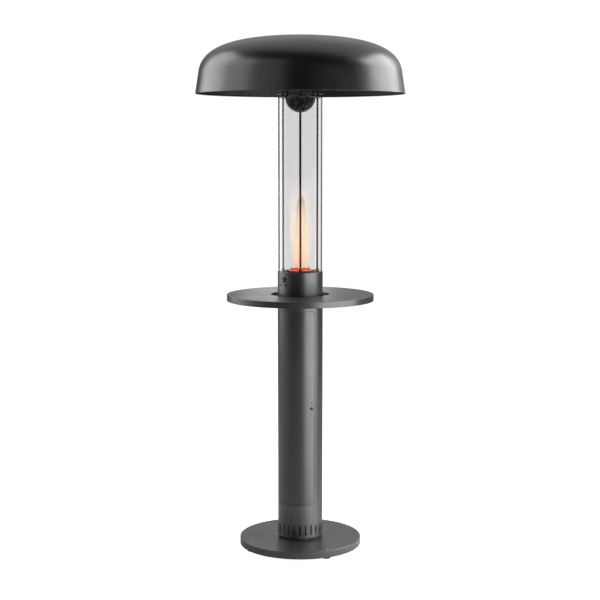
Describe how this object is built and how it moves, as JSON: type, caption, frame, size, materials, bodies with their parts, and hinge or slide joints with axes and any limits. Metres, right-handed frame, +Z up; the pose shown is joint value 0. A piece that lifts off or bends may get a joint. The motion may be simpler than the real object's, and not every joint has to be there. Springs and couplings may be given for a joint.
{
  "type": "patio heater",
  "caption": "Gas patio heater: round weighted base, slim column with a curved service door, standing table, tall glass tube over the burner and a wide mushroom shade.",
  "frame": {"origin": "on the floor, at the middle of the round base", "axes": "+Z up along the column, -Y is the front (the side with the lock), +X to the right seen from the front"},
  "size_m": [0.844, 0.844, 2.0893],
  "materials": {
    "dark_coat": "satin anthracite powder coat on steel",
    "shade_coat": "satin anthracite powder coat on spun aluminium",
    "black_steel": "semi-gloss heat-proof black",
    "gloss_enamel": "gloss black enamel",
    "zinc_steel": "zinc-plated",
    "cast_ballast": "raw casting, black",
    "cast_body": "die-cast",
    "brass_fitting": "turned brass",
    "foot_rubber": "moulded black rubber",
    "black_plastic": "fine moulded grain",
    "grey_plastic": "fine moulded grain",
    "electrode_ceramic": "white insulator",
    "glowing_burner": "emissive, glowing orange burner plate",
    "gasket": "woven mineral fibre",
    "heat_glass": "clear borosilicate tube"
  },
  "bodies": {
    "root": {"ballast_plate": "cast_ballast", "base_cover": "dark_coat", "base_screw_1": "zinc_steel", "base_screw_2": "zinc_steel", "base_screw_3": "zinc_steel", "base_screw_4": "zinc_steel", "battery_case": "black_plastic", "burner_deck": "black_steel", "burner_pan": "black_steel", "burner_pipe": "brass_fitting", "burner_plate": "glowing_burner", "button_bezel": "black_plastic", "column_shell": "dark_coat", "control_box": "grey_plastic", "deflector_bowl": "gloss_enamel", "flame_sensor": "electrode_ceramic", "foot_1": "foot_rubber", "foot_2": "foot_rubber", "foot_3": "foot_rubber", "foot_4": "foot_rubber", "gas_inlet": "brass_fitting", "gas_valve_block": "cast_body", "glass_gasket_lower": "gasket", "glass_gasket_upper": "gasket", "glass_tube": "heat_glass", "head_ring": "dark_coat", "hinge_lower_fixed_leaf": "black_steel", "hinge_upper_fixed_leaf": "black_steel", "injector": "brass_fitting", "mixing_tube": "zinc_steel", "plinth_bolt_1": "zinc_steel", "plinth_bolt_2": "zinc_steel", "plinth_bolt_3": "zinc_steel", "plinth_ring": "cast_ballast", "pressure_regulator": "cast_body", "service_plate": "zinc_steel", "shade": "shade_coat", "shade_bracket": "black_steel", "shutoff_valve": "brass_fitting", "spark_electrode": "electrode_ceramic", "supply_pipe": "brass_fitting", "table_screw_1": "zinc_steel", "table_screw_2": "zinc_steel", "table_screw_3": "zinc_steel", "table_support_ring": "dark_coat", "table_top": "dark_coat", "tie_rod_1": "black_steel", "tie_rod_2": "black_steel", "tie_rod_3": "black_steel", "tie_rod_4": "black_steel", "top_collar": "black_steel"},
    "door": {"door_panel": "dark_coat", "hinge_upper_door_leaf": "black_steel", "hinge_lower_door_leaf": "black_steel", "lock_housing": "black_steel", "lock_screw_1": "black_steel", "lock_screw_2": "black_steel"},
    "lock": {"lock_cam": "zinc_steel"},
    "button": {"ignition_button": "black_plastic"},
    "gas_lever": {"shutoff_lever": "grey_plastic"}
  },
  "joints": [
    {"name": "door_swing", "type": "hinge", "parent": "root", "child": "door", "pos_m": [-0.06158, 0.07339, 0.5865], "axis": [0, 0, -1], "range_deg": [0, 110]},
    {"name": "lock_turn", "type": "hinge", "parent": "door", "child": "lock", "pos_m": [0.046, -0.07967, 0.588], "axis": [-0.5, 0.866, 0], "range_deg": [0, 90]},
    {"name": "ignition_press", "type": "slide", "parent": "root", "child": "button", "axis": [0.7254, 0.6884, 0], "range_m": [0, 0.003], "stiffness_N_per_m": 800},
    {"name": "shutoff_turn", "type": "hinge", "parent": "root", "child": "gas_lever", "pos_m": [0, 0, 0.235], "axis": [-0.766, -0.6428, 0], "range_deg": [0, 90]}
  ]
}
